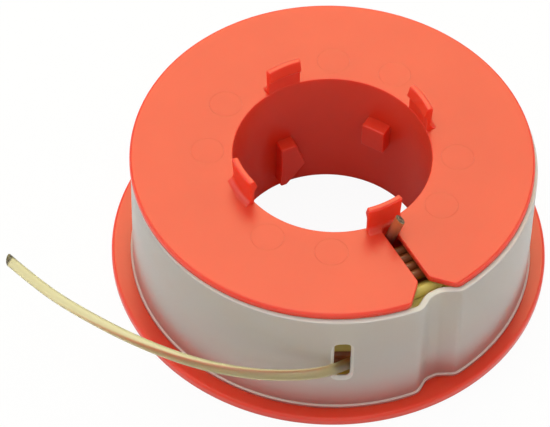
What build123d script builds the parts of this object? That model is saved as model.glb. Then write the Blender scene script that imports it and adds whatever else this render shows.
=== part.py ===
from build123d import *

import os
from math import asin, atan, cos, degrees, hypot, radians, sin, tan

# Trimmer line spool: a flanged hub wound with line, and a flexible band that holds the turns in.
# Lengths are in millimetres and angles in degrees, seen from above with 0 along +X.
# The bore axis is Z and the lower flange stands on Z = 0.

# Line
line_diameter = 1.6

# Spool
bore_radius = 14.5
hub_wall = 1.5
lower_flange_radius = 32.5
lower_flange_thickness = 1.3
lower_rim_rounding = 0.45
lower_rim_underside_rounding = 0.2
upper_flange_radius = 29.5
upper_flange_thickness = 1.0
upper_rim_rounding = 0.5
upper_rim_underside_rounding = 0.25
winding_space = 19.8

# Slit and notch in the upper flange
slit_angle = 300
slit_clearance = 0.2
slit_tab_gap = 0.15
notch_width = 7.7
notch_depth = 3.35
notch_root_rounding = 0.8
notch_rim_rounding = 1.6

# Catch tabs round the mouth of the bore
tab_count = 4
tab_first_angle = 30
tab_width = 5.2
tab_height = 4.6
tab_top_thickness = 0.9
tab_waist = 0.72
tab_flare = 1.25
tab_setback = 0.05
tab_lip = 0.5
tab_lip_drop = 1.6
tab_lip_slope = 0.7

# Drive lugs in the bore, each in two copies half a turn apart
lug_depth = 2.15
lug_copies = 2
upper_lug_angle = 60.4
upper_lug_width = 3.8
upper_lug_bottom = 10.85
upper_lug_height = 4.3
ramp_lug_angle = 116.5
ramp_lug_bottom = 2.1
ramp_lug_height = 8.3
ramp_lug_top_width = 2.5
ramp_lug_width = 4.0
ramp_lug_foot_width = 1.0
ramp_lug_point_height = 3.6

# Retaining band
band_overhang = 0.1
band_wall = 1.0
band_top_clearance = 0.05
band_shift_x = 0.3
band_shift_y = -0.6
band_bead = 0.3
band_bead_height = 0.5
dent_turn = 1.5
dent_depth = 1.5
dent_lead_angle = 4.0
dent_floor_angle = 3.8
dent_ramp_angle = 4.8
dent_floor_rounding = 2.2
dent_rim_rounding = 2.0

# Exit slot in the band
slot_angle = 273.2
slot_clearance = 0.75
slot_height = 7.4
slot_centre_height = 10.7
slot_corner_rounding = 0.8
slot_flare = 0.5

# Winding
winding_end_clearance = 0.15
winding_hub_clearance = 0.1
winding_band_clearance = 0.9
turn_crown = 0.7
turn_groove = 0.4

# Start of the line, which stands up through the slit
start_seat_clearance = 0.05
start_length = 5.2
start_lean_out = 1.15
start_lean_side = 0.65

# Free tail of the line, from the winding out through the slot. Each point of its centre is given by
# its distance outside the band's wall, its angle, and its height over the slot's centre.
tail_route = [
    (-3.84, 297.01, -4.8),
    (-3.33, 286.81, -4.2),
    (-2.43, 276.95, -3.0),
    (1.65, 269.95, 0.1),
    (2.42, 261.92, -0.5),
    (4.01, 250.35, -0.6),
    (6.18, 236.4, -0.6),
    (9.07, 221.86, -0.6),
    (13.13, 208.36, -0.6),
    (16.01, 200.94, -0.6),
    (18.84, 194.47, -0.6),
]
bend_share = 0.45

# Sizes that follow from the ones above
hub_radius = bore_radius + hub_wall
lower_face = lower_flange_thickness
upper_underside = lower_face + winding_space
spool_top = upper_underside + upper_flange_thickness
slit_width = line_diameter + slit_clearance
slit_start = bore_radius + tab_waist + slit_tab_gap
notch_root = upper_flange_radius - notch_depth
band_radius = upper_flange_radius + band_overhang
band_height = winding_space - band_top_clearance
dent_floor_radius = band_radius - dent_depth
slot_width = line_diameter + slot_clearance
slot_centre = lower_face + slot_centre_height
winding_limit = dent_floor_radius - band_wall - winding_band_clearance
layer_count = int((winding_limit - hub_radius) / line_diameter)
winding_radius = hub_radius + layer_count * line_diameter


def polar(radius, angle):
    return (radius * cos(radians(angle)), radius * sin(radians(angle)))


def nearest(shape, point):
    return shape.vertices().sort_by_distance(point)[0]


def ring_section(outer_radius, bottom, thickness):
    width = outer_radius - bore_radius
    return Pos(bore_radius + width / 2, bottom + thickness / 2) * Rectangle(width, thickness)


def make_body():
    # Hub with a flange at each end, turned about the bore axis.
    hub = ring_section(hub_radius, 0, spool_top)
    lower = ring_section(lower_flange_radius, 0, lower_flange_thickness)
    upper = ring_section(upper_flange_radius, upper_underside, upper_flange_thickness)
    section = hub + lower + upper
    section = fillet(nearest(section, (lower_flange_radius, lower_face)), lower_rim_rounding)
    section = fillet(nearest(section, (lower_flange_radius, 0)), lower_rim_underside_rounding)
    section = fillet(nearest(section, (upper_flange_radius, spool_top)), upper_rim_rounding)
    section = fillet(nearest(section, (upper_flange_radius, upper_underside)), upper_rim_underside_rounding)
    return revolve(Plane.XZ * section, Axis.Z)


def make_slit_cutter():
    # Slit with a round inner end, which opens into a notch at the rim. Drawn along +X, then turned.
    straight_start = slit_start + slit_width / 2
    length = notch_root - straight_start
    slit = Pos(straight_start + length / 2, 0) * Rectangle(length, slit_width)
    slit += Pos(straight_start, 0) * Circle(slit_width / 2)
    rise = (notch_width - slit_width) / 2 / notch_depth
    beyond = upper_flange_radius + notch_depth
    half_beyond = slit_width / 2 + rise * (beyond - notch_root)
    notch = Polygon(
        (notch_root, -slit_width / 2),
        (beyond, -half_beyond),
        (beyond, half_beyond),
        (notch_root, slit_width / 2),
        align=None,
    )
    disc = Circle(upper_flange_radius) - slit - notch
    for side in (-1, 1):
        disc = fillet(nearest(disc, (notch_root, side * slit_width / 2)), notch_root_rounding)
        disc = fillet(nearest(disc, (upper_flange_radius, side * notch_width / 2)), notch_rim_rounding)
    reach = beyond - slit_start
    around = Pos(slit_start + reach / 2, 0) * Rectangle(reach, 2 * notch_width)
    opening = Rot(0, 0, slit_angle) * (around - disc)
    return Pos(0, 0, upper_underside) * extrude(opening, upper_flange_thickness + tab_flare)


def make_tab():
    # Hooked tab: a lip that leans over the bore, and a back that flares out into the flange.
    root = upper_underside + upper_flange_thickness / 2
    top = spool_top + tab_height
    front_radius = bore_radius + tab_setback
    lip_point = (bore_radius - tab_lip, top - tab_lip_drop)
    back_top = (front_radius + tab_top_thickness, top)
    waist = (bore_radius + tab_waist, spool_top + tab_flare)
    foot = (waist[0] + tab_flare, spool_top)
    flare_inset = tab_flare * (1 - sin(radians(45)))
    front = Polyline(
        (foot[0], root),
        (front_radius, root),
        (front_radius, lip_point[1] - tab_lip_slope),
        lip_point,
        (front_radius, top),
        back_top,
        waist,
    )
    flare = ThreePointArc(waist, (waist[0] + flare_inset, spool_top + flare_inset), foot)
    section = make_face(front + flare + Line(foot, (foot[0], root)))
    spread = 2 * degrees(asin(tab_width / 2 / bore_radius))
    return Rot(0, 0, -spread / 2) * revolve(Plane.XZ * section, Axis.Z, spread)


def make_lug(outline, angle):
    # A lug outline, drawn with X along the wall and Y up, carried from mid wall to its inner face.
    inner_face = Plane(
        origin=(*polar(bore_radius - lug_depth, angle), 0),
        x_dir=(sin(radians(angle)), -cos(radians(angle)), 0),
        z_dir=(-cos(radians(angle)), -sin(radians(angle)), 0),
    )
    return extrude(inner_face * outline, -lug_depth - hub_wall / 2)


def make_lugs():
    # Plain block high in the bore, and a lower one with an upright drive face and a sloping back.
    upper = Pos(0, upper_lug_bottom + upper_lug_height / 2) * Rectangle(upper_lug_width, upper_lug_height)
    drive_side = -ramp_lug_width / 2
    ramp_top = ramp_lug_bottom + ramp_lug_height
    ramp = Polygon(
        (drive_side, ramp_lug_bottom),
        (drive_side + ramp_lug_foot_width, ramp_lug_bottom),
        (drive_side + ramp_lug_width, ramp_lug_bottom + ramp_lug_point_height),
        (drive_side + ramp_lug_top_width, ramp_top),
        (drive_side, ramp_top),
        align=None,
    )
    lugs = []
    for i in range(lug_copies):
        turn = 360 / lug_copies * i
        lugs.append(make_lug(upper, upper_lug_angle + turn))
        lugs.append(make_lug(ramp, ramp_lug_angle + turn))
    return lugs


def make_spool():
    spool = make_body()
    tab = make_tab()
    for i in range(tab_count):
        spool += Rot(0, 0, tab_first_angle + 360 / tab_count * i) * tab
    for lug in make_lugs():
        spool += lug
    return spool - make_slit_cutter()


def make_band_plan():
    # Ring outline with one dent that lines up with the notch: a lead side, a floor and a ramp.
    floor_start = slit_angle + dent_turn - dent_floor_angle / 2
    floor_end = floor_start + dent_floor_angle
    lead_start = floor_start - dent_lead_angle
    ramp_end = floor_end + dent_ramp_angle
    floor_points = [Vector(*polar(dent_floor_radius, angle)) for angle in (floor_start, floor_end)]
    rim_points = [Vector(*polar(band_radius, angle)) for angle in (lead_start, ramp_end)]
    outside = [rim * 2 - floor for rim, floor in zip(rim_points, floor_points)]
    dent = Polygon(outside[0], floor_points[0], floor_points[1], outside[1], align=None)
    plan = Circle(band_radius) - dent
    for point in floor_points:
        plan = fillet(nearest(plan, point), dent_floor_rounding)
    for point in rim_points:
        plan = fillet(nearest(plan, point), dent_rim_rounding)
    return plan


def make_slot_cutter():
    # Upright slot through the band wall, flared towards both faces.
    outline = RectangleRounded(slot_width, slot_height, slot_corner_rounding)
    middle = band_radius - band_wall / 2
    wall_middle = Plane(
        origin=(*polar(middle, slot_angle), slot_centre),
        x_dir=(-sin(radians(slot_angle)), cos(radians(slot_angle)), 0),
        z_dir=(cos(radians(slot_angle)), sin(radians(slot_angle)), 0),
    )
    flare_angle = degrees(atan(slot_flare / (band_wall / 2)))
    outward = extrude(wall_middle * outline, band_wall, taper=-flare_angle)
    inward = extrude(wall_middle * outline, -band_wall, taper=-flare_angle)
    return outward + inward


def make_band():
    # Thin wall with a small bead round its foot.
    plan = make_band_plan()
    inside = offset(plan, -band_wall)
    wall = extrude(plan - inside, band_height)
    bead = extrude(offset(plan, band_bead) - inside, band_bead_height)
    band = Pos(0, 0, lower_face) * (wall + bead) - make_slot_cutter()
    return Pos(band_shift_x, band_shift_y, 0) * band


def make_winding():
    # Turns of line side by side: a ridge for each turn on the outside, and for each layer on top.
    line_radius = line_diameter / 2
    bottom = lower_face + winding_end_clearance
    top = upper_underside - winding_end_clearance
    inner = hub_radius + winding_hub_clearance
    outer_centre = winding_radius - line_radius
    turn_count = int((top - bottom) / line_diameter)
    turn_step = (top - bottom - line_diameter) / (turn_count - 1)
    outline = [(inner, bottom), (outer_centre + turn_crown / 2, bottom)]
    for i in range(turn_count):
        height = bottom + line_radius + i * turn_step
        outline.append((winding_radius, height - turn_crown / 2))
        outline.append((winding_radius, height + turn_crown / 2))
        if i < turn_count - 1:
            outline.append((winding_radius - turn_groove, height + turn_step / 2))
    for i in range(layer_count):
        centre = outer_centre - i * line_diameter
        outline.append((centre + turn_crown / 2, top))
        outline.append((centre - turn_crown / 2, top))
        if i < layer_count - 1:
            outline.append((centre - line_radius, top - turn_groove))
    outline.append((inner, top - turn_groove))
    return revolve(Plane.XZ * Polygon(*outline, align=None), Axis.Z)


def make_start():
    # Cut end of the line, which crosses the slit's middle halfway up the flange and leans as it rises.
    line_radius = line_diameter / 2
    tilt = atan(hypot(start_lean_out, start_lean_side) / start_length)
    seat = upper_underside - winding_end_clearance + start_seat_clearance + line_radius * sin(tilt)
    foot_radius = hub_radius + line_radius / cos(tilt) + start_seat_clearance
    half_flange = upper_underside + upper_flange_thickness / 2 - seat
    outward = Vector(*polar(1, slit_angle))
    sideways = Vector(*polar(1, slit_angle + 90))
    foot_side = -start_lean_side * half_flange / start_length
    foot = outward * foot_radius + sideways * foot_side + Vector(0, 0, seat)
    tip = foot + outward * start_lean_out + sideways * start_lean_side + Vector(0, 0, start_length)
    path = Line(foot, tip)
    return sweep(Plane(foot, z_dir=path % 0) * Circle(line_radius), path)


def make_tail():
    # Straight runs joined by arcs as large as the runs allow.
    points = []
    for distance, angle, rise in tail_route:
        x, y = polar(band_radius + distance, angle)
        points.append(Vector(x + band_shift_x, y + band_shift_y, slot_centre + rise))
    runs = [end - start for start, end in zip(points, points[1:])]
    radii = []
    for before, after in zip(runs, runs[1:]):
        half_turn = radians(before.get_angle(after)) / 2
        radii.append(bend_share * min(before.length, after.length) / tan(half_turn))
    print("tail radii", [round(radius, 1) for radius in radii])
    path = FilletPolyline(*points, radius=radii)
    tail = sweep(Plane(path @ 0, z_dir=path % 0) * Circle(line_diameter / 2), path)
    straight_volume = Circle(line_diameter / 2).area * path.length
    print("tail length", round(path.length, 2), "volume ratio", round(tail.volume / straight_volume, 4))
    return tail


parts = {
    "spool": make_spool(),
    "retaining_band": make_band(),
    "line_winding": make_winding(),
    "line_start": make_start(),
    "line_tail": make_tail(),
}
os.makedirs("parts", exist_ok=True)
for name, shape in parts.items():
    export_step(shape, f"parts/{name}.step")
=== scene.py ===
import math

import bmesh
import bpy
from mathutils import Matrix, Vector


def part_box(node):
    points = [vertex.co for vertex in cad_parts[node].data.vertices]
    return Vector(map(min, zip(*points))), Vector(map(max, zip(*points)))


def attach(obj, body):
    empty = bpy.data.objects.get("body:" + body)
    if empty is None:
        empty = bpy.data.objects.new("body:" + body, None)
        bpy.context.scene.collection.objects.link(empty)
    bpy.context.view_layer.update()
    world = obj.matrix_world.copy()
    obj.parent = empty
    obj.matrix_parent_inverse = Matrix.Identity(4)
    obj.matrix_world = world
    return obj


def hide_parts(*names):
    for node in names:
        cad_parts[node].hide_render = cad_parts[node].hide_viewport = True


# Trimmer line spool: a red moulded spool, wound with pale yellow nylon line, in a frosted retaining band.
# Lengths in the dictionaries are millimetres and angles are degrees, seen from above with 0 along +X.

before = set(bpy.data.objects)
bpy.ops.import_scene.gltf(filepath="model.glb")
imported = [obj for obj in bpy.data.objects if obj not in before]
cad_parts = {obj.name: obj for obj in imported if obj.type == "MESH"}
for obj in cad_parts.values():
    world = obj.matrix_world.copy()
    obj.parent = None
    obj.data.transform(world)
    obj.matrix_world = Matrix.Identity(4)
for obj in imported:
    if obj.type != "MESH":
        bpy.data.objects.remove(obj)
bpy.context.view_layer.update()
mm = 0.001
windingLow, windingHigh = [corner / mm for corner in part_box("line_winding")]
print("frame loaded:", sorted(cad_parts))


def toLinear(hexColour):
    channels = [int(hexColour[i:i + 2], 16) / 255 for i in (1, 3, 5)]
    return (*[c / 12.92 if c <= 0.04045 else ((c + 0.055) / 1.055) ** 2.4 for c in channels], 1)


def addNode(tree, kind, inputs={}, links={}, **settings):
    node = tree.nodes.new(kind)
    for name, value in settings.items():
        setattr(node, name, value)
    for name, value in inputs.items():
        node.inputs[name].default_value = value
    for name, source in links.items():
        tree.links.new(source, node.inputs[name])
    return node


def polar(radius, angle, height=0):
    turn = math.radians(angle)
    return Vector((radius * math.cos(turn), radius * math.sin(turn), height))


def addObject(name, data):
    piece = bpy.data.objects.new(name, data)
    bpy.context.scene.collection.objects.link(piece)
    return piece


def meshPiece(name, points, faces):
    mesh = bpy.data.meshes.new(name)
    mesh.from_pydata([tuple(Vector(point) * mm) for point in points], [], faces)
    return addObject(name, mesh)


def freeze(piece):
    # what the modifiers give becomes the piece's own plain mesh
    graph = bpy.context.evaluated_depsgraph_get()
    mesh = bpy.data.meshes.new_from_object(piece.evaluated_get(graph))
    piece.modifiers.clear()
    piece.data = mesh
    mesh.name = piece.name
    return piece


def modify(piece, kind, **settings):
    modifier = piece.modifiers.new(kind.lower(), kind)
    for name, value in settings.items():
        setattr(modifier, name, value)
    return freeze(piece)


def combine(piece, tool, operation):
    modify(piece, "BOOLEAN", object=tool, operation=operation, solver="EXACT")
    bpy.data.objects.remove(tool)
    return piece


def runTree(tree, name, values):
    piece = addObject(name, bpy.data.meshes.new(name))
    modifier = piece.modifiers.new("build", "NODES")
    modifier.node_group = tree
    for item in tree.interface.items_tree:
        if item.in_out == "INPUT" and item.name in values:
            modifier[item.identifier] = values[item.name]
    return freeze(piece)


def newTree(name, sockets):
    tree = bpy.data.node_groups.new(name, "GeometryNodeTree")
    for socketName, kind in sockets.items():
        tree.interface.new_socket(socketName, in_out="INPUT", socket_type=kind)
    tree.interface.new_socket("Geometry", in_out="OUTPUT", socket_type="NodeSocketGeometry")
    return tree, addNode(tree, "NodeGroupInput")


def arcPoints(centre, start, end, steps=8):
    # points on the shorter arc from start to end, both ends included
    first, last = start - centre, end - centre
    turn = math.atan2(first.x * last.y - first.y * last.x, first.dot(last))
    return [centre + Matrix.Rotation(turn * i / steps, 2) @ first for i in range(steps + 1)]


def roundCorner(before, corner, after, radius, steps=6):
    # arc that rounds a corner between two straight runs
    back, ahead = (before - corner).normalized(), (after - corner).normalized()
    half = back.angle(ahead) / 2
    reach = radius / math.tan(half)
    centre = corner + (back + ahead).normalized() * (radius / math.sin(half))
    return arcPoints(centre, corner + back * reach, corner + ahead * reach, steps)


def roundRim(rimRadius, corner, inside, side, radius, steps=8):
    # arc that rounds the corner between a straight side and a round rim, from the side to the rim
    along = (corner - inside).normalized()
    normal = Vector((-along.y, along.x)) * side
    offset = inside + normal * radius
    reach = rimRadius - radius
    half = offset.dot(along)
    travel = -half + math.sqrt(half * half - offset.length_squared + reach * reach)
    centre = offset + along * travel
    return arcPoints(centre, centre - normal * radius, centre.normalized() * rimRadius, steps)


def stackLoops(name, loops, closed=False):
    # skin over loops of equal length, capped at both ends unless the last joins the first
    count = len(loops[0])
    points = [point for loop in loops for point in loop]
    faces = []
    for k in range(len(loops) if closed else len(loops) - 1):
        low, high = k * count, (k + 1) % len(loops) * count
        faces += [(low + i, low + (i + 1) % count, high + (i + 1) % count, high + i) for i in range(count)]
    if not closed:
        faces.append(tuple(reversed(range(count))))
        faces.append(tuple(range((len(loops) - 1) * count, len(loops) * count)))
    return meshPiece(name, points, faces)


def roundedOutline(corners):
    # closed outline from (x, y, rounding) corners
    places = [Vector(corner[:2]) for corner in corners]
    outline = []
    for i, corner in enumerate(corners):
        if corner[2]:
            outline += roundCorner(places[i - 1], places[i], places[(i + 1) % len(places)], corner[2])
        else:
            outline.append(places[i])
    return outline


def offsetOutline(outline, distance):
    # an anticlockwise outline's points moved outward by the distance, up to twice that at a corner
    moved = []
    for i, point in enumerate(outline):
        before = (point - outline[i - 1]).normalized()
        after = (outline[(i + 1) % len(outline)] - point).normalized()
        lean = Vector((before.y + after.y, -before.x - after.x)).normalized()
        moved.append(point + lean * distance / max(0.5, lean.dot(Vector((after.y, -after.x)))))
    return moved


def roundedEnd(radius, steps=5):
    # inset and travel along a rounded edge, from the end face to the full outline
    turns = [math.pi / 2 * i / steps for i in range(steps + 1)]
    return [(radius * (1 - math.sin(turn)), radius * (1 - math.cos(turn))) for turn in turns]


def facesOutward(piece):
    work = bmesh.new()
    work.from_mesh(piece.data)
    bmesh.ops.remove_doubles(work, verts=work.verts, dist=1e-7)
    bmesh.ops.recalc_face_normals(work, faces=work.faces)
    work.to_mesh(piece.data)
    work.free()
    return piece


def smooth(piece, angle=32):
    piece.data.shade_smooth()
    piece.data.set_sharp_from_angle(angle=math.radians(angle))
    return piece


# Camera, at the photograph's viewpoint
cameraView = {
    "focalPixels": 3366,
    "imageWidth": 550,
    "elevation": 50.79,
    "roll": 1.43,
    "distance": 506.06,
    "aimRight": -8.125,
    "aimUp": 5.107,
}


def makeCamera(view):
    lift, roll = math.radians(view["elevation"]), math.radians(view["roll"])
    right = Vector((1, 0, 0))
    up = Vector((0, math.sin(lift), math.cos(lift)))
    back = Vector((0, -math.cos(lift), math.sin(lift)))
    data = bpy.data.cameras.new("photoCamera")
    data.sensor_width = 36
    data.lens = view["focalPixels"] / view["imageWidth"] * data.sensor_width
    camera = addObject("photoCamera", data)
    acrossAxis = right * math.cos(roll) + up * math.sin(roll)
    upAxis = up * math.cos(roll) - right * math.sin(roll)
    place = (right * view["aimRight"] + up * view["aimUp"] + back * view["distance"]) * mm
    turned = Matrix((acrossAxis, upAxis, back)).transposed().to_4x4()
    camera.matrix_world = Matrix.Translation(place) @ turned
    bpy.context.scene.camera = camera


makeCamera(cameraView)
print("camera placed")


# Materials
# sockets of a colour mix: its share, its two colours and its result
mixShare, mixFirst, mixSecond, mixResult = 0, 6, 7, 2


def newMaterial(name):
    material = bpy.data.materials.new(name)
    material.use_nodes = True
    tree = material.node_tree
    return material, tree, tree.nodes["Principled BSDF"]


def mouldedPolypropylene():
    # injection moulded, satin from a fine spark-eroded mould, a little cloudy inside
    material, tree, shader = newMaterial("mouldedPolypropylene")
    place = addNode(tree, "ShaderNodeTexCoord").outputs["Object"]
    flow = addNode(tree, "ShaderNodeTexNoise", {"Scale": 1 / (14 * mm), "Detail": 3}, {"Vector": place})
    tint = addNode(tree, "ShaderNodeValToRGB", links={"Fac": flow.outputs["Fac"]})
    tint.color_ramp.elements[0].position, tint.color_ramp.elements[1].position = 0.3, 0.7
    tint.color_ramp.elements[0].color = toLinear("#DE4127")
    tint.color_ramp.elements[1].color = toLinear("#E4462A")
    # the grain is about 0.1 mm on the real part, drawn at 0.3 mm so that it shows
    grain = addNode(tree, "ShaderNodeTexNoise", {"Scale": 1 / (0.3 * mm), "Detail": 2}, {"Vector": place})
    fine = grain.outputs["Fac"]
    gloss = addNode(tree, "ShaderNodeMapRange", {"To Min": 0.3, "To Max": 0.38}, {"Value": fine})
    bump = addNode(tree, "ShaderNodeBump", {"Strength": 0.08, "Distance": 0.02 * mm}, {"Height": fine})
    tree.links.new(tint.outputs["Color"], shader.inputs["Base Color"])
    tree.links.new(gloss.outputs["Result"], shader.inputs["Roughness"])
    tree.links.new(bump.outputs["Normal"], shader.inputs["Normal"])
    shader.inputs["IOR"].default_value = 1.49
    shader.inputs["Subsurface Weight"].default_value = 1
    shader.inputs["Subsurface Radius"].default_value = (1, 0.25, 0.12)
    shader.inputs["Subsurface Scale"].default_value = 1.5 * mm
    return material


def frostedPolyethylene(name, clear, paintedFootGlow):
    # thin moulded ring, milky: what lies close behind shows through as a blurred tint; copies with less
    # transmission make the edges look whiter, a painted highlight
    material, tree, shader = newMaterial(name)
    place = addNode(tree, "ShaderNodeTexCoord").outputs["Object"]
    cloud = addNode(tree, "ShaderNodeTexNoise", {"Scale": 1 / (6 * mm), "Detail": 4}, {"Vector": place})
    tint = addNode(tree, "ShaderNodeValToRGB", links={"Fac": cloud.outputs["Fac"]})
    tint.color_ramp.elements[0].position, tint.color_ramp.elements[1].position = 0.3, 0.7
    tint.color_ramp.elements[0].color = toLinear("#FFEFE8")
    tint.color_ramp.elements[1].color = toLinear("#FFF4EE")
    # painted glow: the foot of the wall is painted in the foot colour, standing in for the red flange's
    # light shining into it
    footHeight, glowTop = 1 * mm, 8.5 * mm
    height = addNode(tree, "ShaderNodeSeparateXYZ", links={"Vector": place})
    above = addNode(tree, "ShaderNodeMapRange", {"From Min": footHeight, "From Max": glowTop}, {
        "Value": height.outputs["Z"],
    }, interpolation_type="SMOOTHSTEP")
    glow = addNode(tree, "ShaderNodeMix", {mixFirst: toLinear(paintedFootGlow)}, {
        mixShare: above.outputs["Result"],
        mixSecond: tint.outputs["Color"],
    }, data_type="RGBA")
    gloss = addNode(tree, "ShaderNodeMapRange", {"To Min": 0.26, "To Max": 0.36}, {
        "Value": cloud.outputs["Fac"],
    })
    tree.links.new(glow.outputs[mixResult], shader.inputs["Base Color"])
    tree.links.new(gloss.outputs["Result"], shader.inputs["Roughness"])
    shader.inputs["IOR"].default_value = 1.45
    shader.inputs["Transmission Weight"].default_value = clear
    shader.inputs["Subsurface Weight"].default_value = 1
    shader.inputs["Subsurface Radius"].default_value = (1, 0.95, 0.9)
    shader.inputs["Subsurface Scale"].default_value = 1 * mm
    return material


def nylonTint(tree, place, darker, lighter):
    cloud = addNode(tree, "ShaderNodeTexNoise", {"Scale": 1 / (3 * mm), "Detail": 2}, {"Vector": place})
    tint = addNode(tree, "ShaderNodeValToRGB", links={"Fac": cloud.outputs["Fac"]})
    tint.color_ramp.elements[0].color = toLinear(darker)
    tint.color_ramp.elements[1].color = toLinear(lighter)
    return tint.outputs["Color"]


def finishNylon(shader, clear):
    shader.inputs["Roughness"].default_value = 0.35
    shader.inputs["IOR"].default_value = 1.53
    shader.inputs["Transmission Weight"].default_value = clear
    shader.inputs["Subsurface Weight"].default_value = 1
    shader.inputs["Subsurface Radius"].default_value = (1, 0.9, 0.4)
    shader.inputs["Subsurface Scale"].default_value = 1 * mm


def drawnNylon():
    # drawn line, clear yellow with a little cloud in it
    material, tree, shader = newMaterial("drawnNylon")
    place = addNode(tree, "ShaderNodeTexCoord").outputs["Object"]
    tree.links.new(nylonTint(tree, place, "#E4DA9E", "#ECE3B2"), shader.inputs["Base Color"])
    finishNylon(shader, 0.95)
    return material


def woundNylon():
    # the same line in packed turns: outer ones look cloudier, inner ones are painted red-brown, painted
    # shade and red light from the spool around them
    material, tree, shader = newMaterial("woundNylon")
    place = addNode(tree, "ShaderNodeTexCoord").outputs["Object"]
    flat = addNode(tree, "ShaderNodeVectorMath", {1: (1, 1, 0)}, {0: place}, operation="MULTIPLY")
    reach = addNode(tree, "ShaderNodeVectorMath", links={0: flat.outputs["Vector"]}, operation="LENGTH")
    innerReach, outerReach = 24.2 * mm, 25 * mm
    outer = addNode(tree, "ShaderNodeMapRange", {"From Min": innerReach, "From Max": outerReach}, {
        "Value": reach.outputs["Value"],
    })
    # inner turns painted red-brown, painted shade and red light; outer turns the lighter yellow
    mixed = addNode(tree, "ShaderNodeMix", links={
        mixShare: outer.outputs["Result"],
        mixFirst: nylonTint(tree, place, "#9C4E24", "#B4703C"),
        mixSecond: nylonTint(tree, place, "#E4D468", "#ECDE80"),
    }, data_type="RGBA")
    tree.links.new(mixed.outputs[mixResult], shader.inputs["Base Color"])
    finishNylon(shader, 0.4)
    return material


def startNylon():
    # the line's upright start: its lower part is painted dark red, painted shade and red light from the
    # slit
    material, tree, shader = newMaterial("drawnNylonStart")
    place = addNode(tree, "ShaderNodeTexCoord").outputs["Object"]
    height = addNode(tree, "ShaderNodeSeparateXYZ", links={"Vector": place})
    slitHeight, tipHeight = 21.5 * mm, 25.5 * mm
    above = addNode(tree, "ShaderNodeMapRange", {"From Min": slitHeight, "From Max": tipHeight}, {
        "Value": height.outputs["Z"],
    })
    tint = addNode(tree, "ShaderNodeValToRGB", links={"Fac": above.outputs["Result"]})
    tint.color_ramp.elements[0].color = toLinear("#8A2A28")
    tint.color_ramp.elements[1].color = toLinear("#E6B078")
    tree.links.new(tint.outputs["Color"], shader.inputs["Base Color"])
    finishNylon(shader, 0.75)
    return material


def cutNylon():
    # sheared end of the line, torn and dull
    material, tree, shader = newMaterial("cutNylon")
    place = addNode(tree, "ShaderNodeTexCoord").outputs["Object"]
    tear = addNode(tree, "ShaderNodeTexNoise", {"Scale": 1 / (0.3 * mm), "Detail": 3}, {"Vector": place})
    tint = addNode(tree, "ShaderNodeValToRGB", links={"Fac": tear.outputs["Fac"]})
    tint.color_ramp.elements[0].position, tint.color_ramp.elements[1].position = 0.4, 0.6
    tint.color_ramp.elements[0].color = toLinear("#33261A")
    tint.color_ramp.elements[1].color = toLinear("#8E806A")
    bump = addNode(tree, "ShaderNodeBump", {"Strength": 0.6, "Distance": 0.1 * mm}, {
        "Height": tear.outputs["Fac"],
    })
    tree.links.new(tint.outputs["Color"], shader.inputs["Base Color"])
    tree.links.new(bump.outputs["Normal"], shader.inputs["Normal"])
    shader.inputs["Roughness"].default_value = 0.7
    return material


spoolPlastic = mouldedPolypropylene()
# the band's foot colour is a painted red glow from the flange
bandPlastic = frostedPolyethylene("frostedPolyethylene", 0.72, "#F0BAB0")
# the edge and slot copies are whiter with less transmission: painted highlight where the edges catch the
# light
bandEdgeHighlight = frostedPolyethylene("frostedPolyethyleneEdge", 0.45, "#FFEADC")
slotEdgeHighlight = frostedPolyethylene("frostedPolyethyleneSlot", 0.42, "#FFEADC")
lineNylon = drawnNylon()
turnsNylon = woundNylon()
slitNylon = startNylon()
lineCut = cutNylon()
print("materials made")


# Geometry Nodes: line swept along a route, and copies turned round the bore axis
def lineTree():
    tree, given = newTree("lineAlongRoute", {
        "Route": "NodeSocketObject",
        "Diameter": "NodeSocketFloat",
        "Sides": "NodeSocketInt",
        "Material": "NodeSocketMaterial",
    })
    route = addNode(tree, "GeometryNodeObjectInfo", links={"Object": given.outputs["Route"]})
    half = addNode(tree, "ShaderNodeMath", {1: 0.5}, {0: given.outputs["Diameter"]}, operation="MULTIPLY")
    ring = addNode(tree, "GeometryNodeCurvePrimitiveCircle", links={
        "Resolution": given.outputs["Sides"],
        "Radius": half.outputs[0],
    })
    swept = addNode(tree, "GeometryNodeCurveToMesh", {"Fill Caps": True}, {
        "Curve": route.outputs["Geometry"],
        "Profile Curve": ring.outputs["Curve"],
    })
    real = addNode(tree, "GeometryNodeRealizeInstances", links={"Geometry": swept.outputs["Mesh"]})
    made = addNode(tree, "GeometryNodeSetMaterial", links={
        "Geometry": real.outputs["Geometry"],
        "Material": given.outputs["Material"],
    })
    addNode(tree, "NodeGroupOutput", links={"Geometry": made.outputs["Geometry"]})
    return tree


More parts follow.
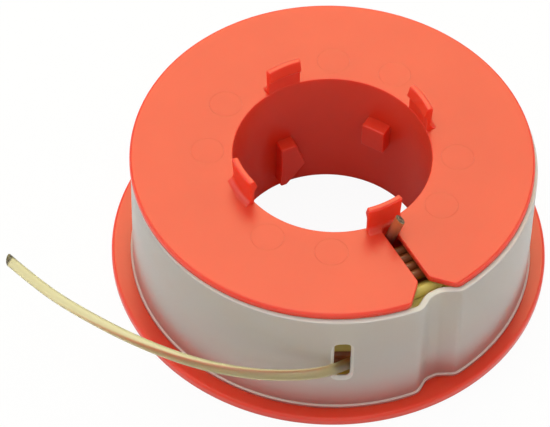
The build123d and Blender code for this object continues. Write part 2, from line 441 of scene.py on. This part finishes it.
def copiesTree():
    tree, given = newTree("copiesRoundBore", {
        "Source": "NodeSocketObject",
        "Count": "NodeSocketInt",
        "First Angle": "NodeSocketFloat",
        "Material": "NodeSocketMaterial",
    })
    source = addNode(tree, "GeometryNodeObjectInfo", links={"Object": given.outputs["Source"]})
    points = addNode(tree, "GeometryNodePoints", links={"Count": given.outputs["Count"]})
    index = addNode(tree, "GeometryNodeInputIndex")
    share = addNode(tree, "ShaderNodeMath", links={
        0: index.outputs["Index"],
        1: given.outputs["Count"],
    }, operation="DIVIDE")
    turn = addNode(tree, "ShaderNodeMath", {1: math.tau}, {
        0: share.outputs[0],
        2: given.outputs["First Angle"],
    }, operation="MULTIPLY_ADD")
    spin = addNode(tree, "ShaderNodeCombineXYZ", links={"Z": turn.outputs[0]})
    placed = addNode(tree, "GeometryNodeInstanceOnPoints", links={
        "Points": points.outputs["Points"],
        "Instance": source.outputs["Geometry"],
        "Rotation": spin.outputs["Vector"],
    })
    real = addNode(tree, "GeometryNodeRealizeInstances", links={"Geometry": placed.outputs["Instances"]})
    made = addNode(tree, "GeometryNodeSetMaterial", links={
        "Geometry": real.outputs["Geometry"],
        "Material": given.outputs["Material"],
    })
    addNode(tree, "NodeGroupOutput", links={"Geometry": made.outputs["Geometry"]})
    return tree


lineNodes = lineTree()
copyNodes = copiesTree()


def copiesRound(source, count, firstAngle):
    name = source.name + "Copies"
    copies = runTree(copyNodes, name, {
        "Source": source,
        "Count": count,
        "First Angle": math.radians(firstAngle),
        "Material": spoolPlastic,
    })
    bpy.data.objects.remove(source)
    return copies


def routeCurve(name, points, resolution=12):
    curve = bpy.data.curves.new(name, "CURVE")
    curve.dimensions = "3D"
    curve.resolution_u = resolution
    spline = curve.splines.new("NURBS")
    spline.points.add(len(points) - 1)
    for knot, point in zip(spline.points, points):
        knot.co = (*[value * mm for value in point], 1)
    spline.order_u = 3
    spline.use_endpoint_u = True
    return addObject(name, curve)


def colourCuts(piece, ends, reach):
    # the cut look goes on end caps, the only faces with more than four corners
    piece.data.materials.append(lineCut)
    for face in piece.data.polygons:
        near = min((face.center / mm - Vector(end)).length for end in ends)
        if len(face.vertices) > 4 and near < reach:
            face.material_index = 1


# Free tail of the line
# points this near a cut end, as a share of the diameter and along the line, belong to its cap
line = {"diameter": 1.6, "sides": 20, "capShare": 0.6, "capDepth": 0.1}
tail = {
    "route": [
        (12.0, -23.55, 7.2),
        (7.9, -25.75, 7.8),
        (3.59, -27.57, 9.0),
        (0.27, -31.85, 12.1),
        (-4.2, -32.3, 11.5),
        (-11.0, -32.25, 11.4),
        (-19.5, -30.4, 11.4),
        (-28.5, -26.4, 11.4),
        (-37.3, -20.9, 11.4),
        (-42.3, -16.9, 11.4),
        (-46.6, -12.7, 11.4),
    ],
    "slant": (0.35, 0.3, 0.4),
}


def curvePoints(route):
    graph = bpy.context.evaluated_depsgraph_get()
    mesh = bpy.data.meshes.new_from_object(route.evaluated_get(graph))
    points = [vertex.co.copy() for vertex in mesh.vertices]
    bpy.data.meshes.remove(mesh)
    return points


def slantCut(piece, end, inward, slant):
    # the cut is not square: the side the slant points to reaches further out
    ahead = -Vector(inward).normalized()
    for vertex in piece.data.vertices:
        aside = vertex.co / mm - Vector(end)
        if aside.length < line["diameter"] * line["capShare"] and abs(aside.dot(ahead)) < line["capDepth"]:
            vertex.co += ahead * aside.dot(Vector(slant)) * mm


def makeTail():
    route = routeCurve("tailRoute", tail["route"])
    path = curvePoints(route)
    piece = runTree(lineNodes, "lineTail", {
        "Route": route,
        "Diameter": line["diameter"] * mm,
        "Sides": line["sides"],
        "Material": lineNylon,
    })
    bpy.data.objects.remove(route)
    smooth(piece)
    first, last = tail["route"][0], tail["route"][-1]
    colourCuts(piece, [first, last], line["diameter"])
    slantCut(piece, last, Vector(tail["route"][-2]) - Vector(last), tail["slant"])
    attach(piece, "root")
    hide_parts("line_tail")


makeTail()


# Winding: the line's start in the slit, full layers on the hub, then a few loose turns on the outside
winding = {
    "innerRadius": 16.4,
    "fullLayers": 5,
    "turnsPerLayer": 12,
    "pointsPerTurn": 40,
    "sides": 12,
    "topGap": 0.45,
    "startAngle": 300,
    "startDrop": 1.8,
    "start": [(9.63, -15.16, 26.02), (8.58, -14.82, 22.6), (8.4, -14.6, 20.8)],
    "startSlant": (-0.57, -0.33, 0.13),
    "startLength": 6,
    # turns after the full layers, then radius and height
    "looseTurns": [
        (0.0, 25.2, 2.25),
        (0.1, 25.2, 2.4),
        (0.7, 25.2, 8.5),
        (1.0, 25.2, 8.95),
        (1.2, 25.2, 9.1),
        (1.9, 25.2, 12.6),
        (2.2, 25.2, 12.7),
        (2.9, 25.2, 14.2),
        (3.2, 25.2, 14.3),
        (3.9, 25.2, 18.5),
        (4.2, 25.2, 18.6),
        (4.9, 25.4, 20.0),
        (4.97, 26.3, 20.0),
        (5.0, 26.65, 20.0),
        (5.06, 26.8, 19.9),
        (5.3, 26.4, 18.0),
        (5.8, 26.4, 17.4),
        (5.97, 26.5, 17.8),
        (6.0, 26.9, 18.4),
        (6.012, 27.9, 19.2),
        (6.03, 28.1, 19.8),
        (6.06, 28.1, 19.7),
        (6.5, 27.2, 14.0),
        (6.85, 26.5, 8.0),
        (6.95, 26.43, 7.2),
        (7.004, 26.43, 7.2),
    ],
}


def between(table, t):
    # smooth step between the rows of a table
    for (t0, *low), (t1, *high) in zip(table, table[1:]):
        if t <= t1:
            share = (t - t0) / (t1 - t0)
            share = share * share * (3 - 2 * share)
            return [a + (b - a) * share for a, b in zip(low, high)]
    return table[-1][1:]


def windingPoints():
    radius = line["diameter"] / 2
    low, high = windingLow.z + radius, windingHigh.z - radius - winding["topGap"]
    turns, per, layers = winding["turnsPerLayer"], winding["pointsPerTurn"], winding["fullLayers"]
    inner = winding["innerRadius"] + radius
    points = list(winding["start"])
    for i in range(1, layers * turns * per):
        layer, along = divmod(i / per, turns)
        share = min(along / (turns - 1), 1)
        rise = max(0, along - turns + 1)
        top = high - (winding["startDrop"] if layer == 0 else 0)
        height = top + (low - top) * (share if layer % 2 == 0 else 1 - share)
        reach = inner + (layer + rise) * line["diameter"]
        points.append(polar(reach, winding["startAngle"] - 360 * i / per, height))
    for i in range(int(winding["looseTurns"][-1][0] * per) + 1):
        reach, height = between(winding["looseTurns"], i / per)
        points.append(polar(reach, winding["startAngle"] - 360 * i / per, height))
    return points


def makeWinding():
    points = windingPoints()
    route = routeCurve("windingRoute", points, resolution=1)
    path = curvePoints(route)
    wound = sum((b - a).length for a, b in zip(path, path[1:]))
    piece = runTree(lineNodes, "lineWinding", {
        "Route": route,
        "Diameter": line["diameter"] * mm,
        "Sides": winding["sides"],
        "Material": turnsNylon,
    })
    bpy.data.objects.remove(route)
    smooth(piece)
    tip, below = Vector(winding["start"][0]), Vector(winding["start"][1])
    colourCuts(piece, [tip], line["diameter"])
    # the start's lower faces get the material with the painted dark red shade
    piece.data.materials.append(slitNylon)
    firstTurn = winding["sides"] * winding["pointsPerTurn"]
    for face in piece.data.polygons:
        if face.index < firstTurn and (face.center / mm - below).length < winding["startLength"]:
            face.material_index = 2
    slantCut(piece, tip, below - tip, winding["startSlant"])
    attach(piece, "root")
    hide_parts("line_winding", "line_start")
    print("winding made, metres of line:", round(wound, 2))


makeWinding()


# Spool: turned body, hooked tabs, drive lugs, slit with notch, ejector marks
spool = {
    "segments": 256,
    "sharpAngle": 30,
    "boreRadius": 14.5,
    "upperRadius": 29.5,
    "top": 22.1,
    # radius, height and rounding of the turned section
    "section": [
        (14.5, 0.0, 0.15),
        (32.5, 0.0, 0.05),
        (32.5, 1.3, 0.45),
        (16.0, 1.3, 0.3),
        (16.0, 21.1, 0.3),
        (29.5, 21.1, 0.03),
        (29.5, 22.1, 0.4),
        (14.5, 22.1, 0.15),
    ],
}
tab = {
    "count": 4,
    "firstAngle": 30,
    "width": 5.2,
    "endRounding": 0.18,
    # steps from the middle to the rounding at each end
    "halfSteps": 4,
    "waist": (15.22, 23.32),
    "flare": 1.25,
    # radius, height and rounding, from the root up the bore side and over the top
    "section": [
        (14.55, 21.6, 0),
        (14.55, 24.4, 0.3),
        (14.0, 25.1, 0.2),
        (14.55, 26.7, 0.2),
        (15.45, 26.7, 0.3),
    ],
}
lugs = {
    "copies": 2,
    "root": 15.2,
    "innerFace": 12.35,
    "rounding": 0.25,
    # angle, then corners along the wall and up
    "upper": (60.4, [(-1.9, 10.85), (1.9, 10.85), (1.9, 15.15), (-1.9, 15.15)]),
    "ramp": (116.5, [(-2.0, 2.1), (-1.0, 2.1), (2.0, 5.7), (0.5, 10.4), (-2.0, 10.4)]),
}
slit = {
    "angle": 300,
    "start": 15.37,
    "width": 1.8,
    "notchRoot": 26.15,
    "notchWidth": 7.7,
    "rootRounding": 0.8,
    "rimRounding": 1.6,
    "edgeRounding": 0.15,
    "edgeSteps": 5,
    # how far the cutter runs on: past the rim as a factor, and below and above the flange's top
    "overrun": 1.06,
    "cutBelow": 1.3,
    "cutAbove": 0.35,
}
marks = {
    "radius": 2.4,
    "at": 18.2,
    "count": 4,
    "firstAngles": (0, 60),
    "width": 0.12,
    "depth": 0.05,
    "cutAbove": 0.2,
    "steps": 48,
}


def makeBody():
    section = roundedOutline(spool["section"])
    turns = [360 * i / spool["segments"] for i in range(spool["segments"])]
    loops = [[polar(point.x, turn, point.y) for point in section] for turn in turns]
    return facesOutward(stackLoops("spoolBody", loops, closed=True))


def makeTab():
    waist, flare = Vector(tab["waist"]), tab["flare"]
    foot = waist + Vector((flare, -flare))
    root = tab["section"][0][1]
    front = roundedOutline([(foot.x, root, 0), *tab["section"], (*waist, 0)])
    outline = front[:-1] + arcPoints(waist + Vector((flare, 0)), waist, foot)
    half = math.degrees(math.asin(tab["width"] / 2 / spool["boreRadius"]))
    rounded = roundedEnd(tab["endRounding"])
    edge = [(inset, half - math.degrees(travel / spool["boreRadius"])) for inset, travel in rounded]
    middle, steps = edge[-1][1], tab["halfSteps"]
    rows = [(inset, -turn) for inset, turn in edge]
    rows += [(0, middle * i / steps) for i in range(1 - steps, steps)]
    rows += [(inset, turn) for inset, turn in reversed(edge)]
    loops = [[polar(p.x, turn, p.y) for p in offsetOutline(outline, inset)] for inset, turn in rows]
    piece = facesOutward(stackLoops("catchTab", loops))
    return copiesRound(piece, tab["count"], tab["firstAngle"])


def makeLug(name, angle, corners):
    outline = roundedOutline([(*corner, lugs["rounding"]) for corner in corners])
    rows = [(-inset, lugs["innerFace"] + travel) for inset, travel in roundedEnd(lugs["rounding"])]
    rows.append((0, lugs["root"]))
    loops = [[Vector((reach, -p.x, p.y)) for p in offsetOutline(outline, inset)] for inset, reach in rows]
    piece = facesOutward(stackLoops(name, loops))
    return copiesRound(piece, lugs["copies"], angle)


def makeSlitCutter():
    half, rim = slit["width"] / 2, spool["upperRadius"]
    centre = Vector((slit["start"] + half, 0))
    shoulder = centre + Vector((0, half))
    rootCorner = Vector((slit["notchRoot"], half))
    rimCorner = Vector((math.sqrt(rim ** 2 - (slit["notchWidth"] / 2) ** 2), slit["notchWidth"] / 2))
    side = arcPoints(centre, Vector((slit["start"], 0)), shoulder)
    side += roundCorner(shoulder, rootCorner, rimCorner, slit["rootRounding"])
    side += roundRim(rim, rimCorner, rootCorner, 1, slit["rimRounding"])
    side.append(side[-1] * slit["overrun"])
    outline = [Vector((point.x, -point.y)) for point in side] + side[:0:-1]
    rounding, steps, top = slit["edgeRounding"], slit["edgeSteps"], spool["top"]
    rows = [(0, top - slit["cutBelow"])]
    for i in range(steps + 1):
        turn = math.pi / 2 * i / steps
        rows.append((rounding * (1 - math.cos(turn)), top - rounding * (1 - math.sin(turn))))
    rows.append((rounding, top + slit["cutAbove"]))
    spin = Matrix.Rotation(math.radians(slit["angle"]), 2)
    loops = [[(*(spin @ point), height) for point in offsetOutline(outline, out)] for out, height in rows]
    return facesOutward(stackLoops("slitCutter", loops))


def makeMarks(firstAngle):
    reach, half = marks["radius"], marks["width"] / 2
    low, high = spool["top"] - marks["depth"], spool["top"] + marks["cutAbove"]
    section = [(reach - half, high), (reach, low), (reach + half, high)]
    centre = Vector((marks["at"], 0, 0))
    loops = []
    for i in range(marks["steps"]):
        turn = 360 * i / marks["steps"]
        loops.append([polar(r, turn, z) + centre for r, z in section])
    piece = facesOutward(stackLoops("ejectorMark", loops, closed=True))
    return copiesRound(piece, marks["count"], firstAngle)


def makeSpool():
    piece = makeBody()
    combine(piece, makeTab(), "UNION")
    for kind in ("upper", "ramp"):
        angle, corners = lugs[kind]
        combine(piece, makeLug(kind + "Lug", angle, corners), "UNION")
    combine(piece, makeSlitCutter(), "DIFFERENCE")
    for firstAngle in marks["firstAngles"]:
        combine(piece, makeMarks(firstAngle), "DIFFERENCE")
    piece.name = "mouldedSpool"
    piece.data.materials.clear()
    piece.data.materials.append(spoolPlastic)
    smooth(piece, spool["sharpAngle"])
    modify(piece, "WEIGHTED_NORMAL", keep_sharp=True)
    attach(piece, "root")
    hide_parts("spool")
    print("spool made, faces:", len(piece.data.polygons))


makeSpool()


# Retaining band: thin wall round a dented plan, bead at the foot, exit slot
band = {
    "radius": 29.6,
    "centre": (0.3, -0.6),
    "wall": 1.0,
    "dentDepth": 1.5,
    # angles of the dent's lead, floor start, floor end and ramp end
    "dentAngles": (295.6, 299.6, 303.4, 308.2),
    "floorRounding": 2.2,
    "rimRounding": 2.0,
    "planSteps": 230,
    "sharpAngle": 35,
    # faces whose normals point up or down by more than this share get the whiter edge copy, a painted
    # highlight
    "edgeTip": 0.4,
    # distance out from the wall's outside, height and rounding of the wall's section
    "section": [
        (-1.0, 1.3, 0),
        (0.3, 1.3, 0.1),
        (0.3, 1.8, 0.15),
        (0.0, 1.85, 0.1),
        (0.0, 21.05, 0.15),
        (-1.0, 21.05, 0.3),
    ],
}
slot = {
    "angle": 273.2,
    "width": 2.35,
    "height": 7.4,
    "middle": 12.0,
    "rounding": 0.8,
    # distance from mid wall and flare there
    "flare": [(-1.1, 1.1), (0.0, 0.0), (1.1, 1.1)],
}


def bandPlan():
    rim, floor = band["radius"], band["radius"] - band["dentDepth"]
    lead, floorStart, floorEnd, ramp = band["dentAngles"]
    leadRim, rampRim = polar(rim, lead).xy, polar(rim, ramp).xy
    leadFloor, rampFloor = polar(floor, floorStart).xy, polar(floor, floorEnd).xy
    into = roundRim(rim, leadRim, leadFloor, -1, band["rimRounding"])[::-1]
    into += roundCorner(leadRim, leadFloor, rampFloor, band["floorRounding"])
    into += roundCorner(leadFloor, rampFloor, rampRim, band["floorRounding"])
    into += roundRim(rim, rampRim, rampFloor, 1, band["rimRounding"])
    first = math.degrees(math.atan2(into[-1].y, into[-1].x)) % 360
    last = math.degrees(math.atan2(into[0].y, into[0].x)) % 360 + 360
    steps = band["planSteps"]
    return into + [polar(rim, first + (last - first) * i / steps).xy for i in range(1, steps)]


def makeSlotCutter():
    halfWidth, halfHeight = slot["width"] / 2, slot["height"] / 2
    sides = [(-1, -1), (1, -1), (1, 1), (-1, 1)]
    outline = roundedOutline([(x * halfWidth, y * halfHeight, slot["rounding"]) for x, y in sides])
    outward = polar(1, slot["angle"])
    along = Vector((-outward.y, outward.x, 0))
    middle = outward * (band["radius"] - band["wall"] / 2) + Vector((*band["centre"], slot["middle"]))
    loops = []
    for depth, flare in slot["flare"]:
        ring = offsetOutline(outline, flare)
        loops.append([middle + outward * depth + along * p.x + Vector((0, 0, p.y)) for p in ring])
    return facesOutward(stackLoops("slotCutter", loops))


def makeBand():
    plan, centre = bandPlan(), Vector(band["centre"])
    loops = []
    for out, height in roundedOutline(band["section"]):
        loops.append([(*(point + centre), height) for point in offsetOutline(plan, out)])
    piece = facesOutward(stackLoops("retainingBand", loops, closed=True))
    cutter = makeSlotCutter()
    for material in (bandPlastic, bandEdgeHighlight, slotEdgeHighlight):
        piece.data.materials.append(material)
        cutter.data.materials.append(material)
    # top and bottom faces get the whiter edge copy and the slot's faces the slot copy: painted highlight
    # on the edges
    for face in piece.data.polygons:
        if abs(face.normal.z) > band["edgeTip"]:
            face.material_index = 1
    for face in cutter.data.polygons:
        face.material_index = 2
    combine(piece, cutter, "DIFFERENCE")
    smooth(piece, band["sharpAngle"])
    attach(piece, "root")
    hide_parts("retaining_band")
    print("band made, faces:", len(piece.data.polygons))


makeBand()


# Floor, lights and world
stage = {
    # side of the floor, in metres
    "size": 1.6,
    "drop": 0.02,
    # share of the floor's own shading that shows, the rest is plain white
    "shadowShare": 0.06,
    "shadeRadius": 15,
    "shadeTone": "#D6D6D6",
    "floorTone": "#F2F2F0",
    "worldStrength": 0.3,
}
# place, width and height in metres, watts, and colour
lamps = {
    "overheadSoftbox": ((-0.1, 0.05, 0.8), 0.7, 0.7, 2.7, (1, 0.97, 0.88)),
    "backSoftbox": ((0, 0.55, 0.65), 0.5, 0.5, 2.4, (1, 0.96, 0.52)),
    "leftSoftbox": ((-0.8, 0.05, 0.3), 1.5, 0.6, 2.9, (1, 1, 1)),
    "frontSoftbox": ((0, -0.65, 0.35), 0.9, 0.6, 1.25, (1, 1, 1)),
    "rightSoftbox": ((0.8, 0.05, 0.3), 1.5, 0.6, 2.4, (1, 1, 1)),
}


def makeFloor():
    half, low = stage["size"] / 2 / mm, -stage["drop"]
    corners = [(-half, -half, low), (half, -half, low), (half, half, low), (-half, half, low)]
    floor = meshPiece("paleFloor", corners, [(0, 1, 2, 3)])
    material, tree, shader = newMaterial("paleFloor")
    shader.inputs["Roughness"].default_value = 0.9
    path = addNode(tree, "ShaderNodeLightPath")
    place = addNode(tree, "ShaderNodeTexCoord").outputs["Object"]
    away = addNode(tree, "ShaderNodeVectorMath", links={0: place}, operation="LENGTH")
    # painted shade: the floor under the bore is greyer and not white to mirrors, so that the bore's wall
    # stays dark
    clear = addNode(tree, "ShaderNodeMath", {1: stage["shadeRadius"] * mm}, {
        0: away.outputs["Value"],
    }, operation="GREATER_THAN")
    tone = addNode(tree, "ShaderNodeValToRGB", links={"Fac": clear.outputs[0]})
    tone.color_ramp.elements[0].color = toLinear(stage["shadeTone"])
    tone.color_ramp.elements[1].color = toLinear(stage["floorTone"])
    tree.links.new(tone.outputs["Color"], shader.inputs["Base Color"])
    mirrored = addNode(tree, "ShaderNodeMath", links={
        0: path.outputs["Is Glossy Ray"],
        1: clear.outputs[0],
    }, operation="MULTIPLY")
    seen = addNode(tree, "ShaderNodeMath", links={
        0: path.outputs["Is Camera Ray"],
        1: mirrored.outputs[0],
    }, operation="MAXIMUM")
    shown = addNode(tree, "ShaderNodeMath", links={
        0: seen.outputs[0],
        1: path.outputs["Is Transmission Ray"],
    }, operation="MAXIMUM")
    share = addNode(tree, "ShaderNodeMath", {1: 1 - stage["shadowShare"]}, {
        0: shown.outputs[0],
    }, operation="MULTIPLY")
    white = addNode(tree, "ShaderNodeEmission", {"Color": (1, 1, 1, 1), "Strength": 1})
    mixed = addNode(tree, "ShaderNodeMixShader", links={
        0: share.outputs[0],
        1: shader.outputs["BSDF"],
        2: white.outputs["Emission"],
    })
    # from below the floor is clear, so the underside can be looked at
    side = addNode(tree, "ShaderNodeNewGeometry")
    clearBelow = addNode(tree, "ShaderNodeMixShader", links={
        0: side.outputs["Backfacing"],
        1: mixed.outputs["Shader"],
        2: addNode(tree, "ShaderNodeBsdfTransparent").outputs["BSDF"],
    })
    tree.links.new(clearBelow.outputs["Shader"], tree.nodes["Material Output"].inputs["Surface"])
    floor.data.materials.append(material)


def makeLight(name, place, width, height, power, colour):
    data = bpy.data.lights.new(name, "AREA")
    data.shape = "ELLIPSE"
    data.size, data.size_y = width, height
    data.energy = power
    data.color = colour
    light = addObject(name, data)
    light.location = place
    light.rotation_mode = "QUATERNION"
    light.rotation_quaternion = (-Vector(place)).to_track_quat("-Z", "Y")


def makeWorld():
    world = bpy.data.worlds.new("softStudio")
    world.use_nodes = True
    world.node_tree.nodes["Background"].inputs["Color"].default_value = (1, 1, 1, 1)
    world.node_tree.nodes["Background"].inputs["Strength"].default_value = stage["worldStrength"]
    bpy.context.scene.world = world


makeFloor()
for lampName, settings in lamps.items():
    makeLight(lampName, *settings)
makeWorld()
bpy.context.scene.view_settings.view_transform = "Standard"
print("stage lit")
